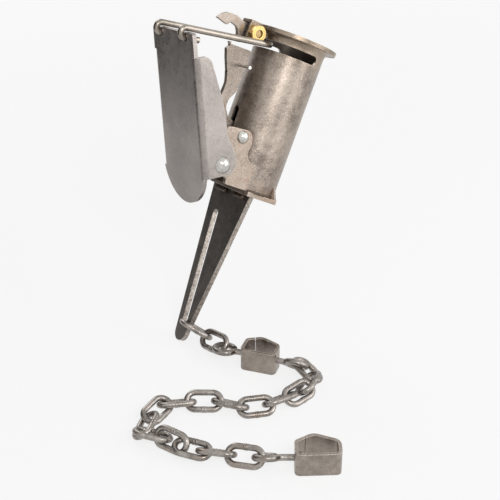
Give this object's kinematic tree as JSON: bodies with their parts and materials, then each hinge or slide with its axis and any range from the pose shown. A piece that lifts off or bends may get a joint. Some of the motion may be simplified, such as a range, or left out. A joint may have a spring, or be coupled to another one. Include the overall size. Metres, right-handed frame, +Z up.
{
  "type": "raccoon trap",
  "caption": "Sprung dog-proof raccoon trap: steel tube with a mouth ring, squeeze lever, wire bail, dog and trigger, on a slotted dagger stake with a swivel chain.",
  "frame": {"origin": "the lowest point of the dagger, where it stands on the ground", "axes": "+Z up from the ground that the chain lies on, +X the way the tube leans, and the chain lies on the -Y side"},
  "size_m": [0.2278, 0.2031, 0.1994],
  "materials": {
    "tube_steel": "heat-stained, brushed",
    "mouth_steel": "heat-stained with straw tint",
    "plate_steel": "dull, heat-stained",
    "dagger_steel": "dark mill scale, bright cut edges",
    "weld": "dark weld bead",
    "lever_steel": "smooth warm grey sheet",
    "rivet": "bright zinc",
    "spring_steel": "oiled spring wire",
    "wire": "dark drawn wire",
    "catch_steel": "dull plate",
    "brass": "polished",
    "chain_steel": "matt grey",
    "strap_steel": "dull strap"
  },
  "bodies": {
    "frame": {"tube": "tube_steel", "mouth_plate": "mouth_steel", "base_plate": "plate_steel", "near_bracket": "plate_steel", "far_bracket": "plate_steel", "dagger": "dagger_steel", "dagger_welds": "weld", "lower_rivet": "rivet", "upper_rivet": "rivet", "torsion_spring": "spring_steel", "dog_bolt": "rivet", "brass_nut": "brass", "lead_links": "chain_steel", "swivel_eye_in": "chain_steel", "swivel_eye_out": "chain_steel", "chain_odd_links": "chain_steel", "chain_even_links": "chain_steel", "end_eye": "chain_steel"},
    "lever": {"lever": "lever_steel"},
    "bail": {"bail": "wire"},
    "dog": {"dog": "catch_steel"},
    "trigger": {"trigger": "catch_steel", "trigger_pin": "rivet"},
    "swivel_box": {"swivel_box": "strap_steel"},
    "end_box": {"end_box": "strap_steel"}
  },
  "joints": [
    {"name": "lever_squeeze", "type": "hinge", "parent": "frame", "child": "lever", "pos_m": [0.0374, 0.01064, 0.11287], "axis": [-0.3142, -0.9272, 0.204], "range_deg": [-27.3, 0], "stiffness_Nm_per_rad": 5, "springref_deg": 8.59, "deforming": ["torsion_spring"]},
    {"name": "bail_swing", "type": "hinge", "parent": "lever", "child": "bail", "pos_m": [0.03507, 0.02805, 0.18843], "axis": [-0.3142, -0.9272, 0.204], "range_deg": [-0.5, 10.5]},
    {"name": "dog_tilt", "type": "hinge", "parent": "frame", "child": "dog", "pos_m": [0.08404, 0.00955, 0.17976], "axis": [0.3142, 0.9272, -0.204], "range_deg": [-5, 0]},
    {"name": "trigger_tilt", "type": "hinge", "parent": "frame", "child": "trigger", "pos_m": [0.05489, 0.00738, 0.125], "axis": [-0.3142, -0.9272, 0.204], "range_deg": [-3.5, 0]},
    {"name": "swivel_turn", "type": "hinge", "parent": "frame", "child": "swivel_box", "pos_m": [0.0063, -0.0468, 0.0075], "axis": [0.3256, -0.9455, 0], "continuous": true},
    {"name": "end_turn", "type": "hinge", "parent": "frame", "child": "end_box", "pos_m": [-0.05, -0.1288, 0.0075], "axis": [0.6293, -0.7771, 0], "continuous": true}
  ],
  "couplings": [
    {"joint": "bail_swing", "follows": "lever_squeeze", "ratio": -0.364}
  ]
}
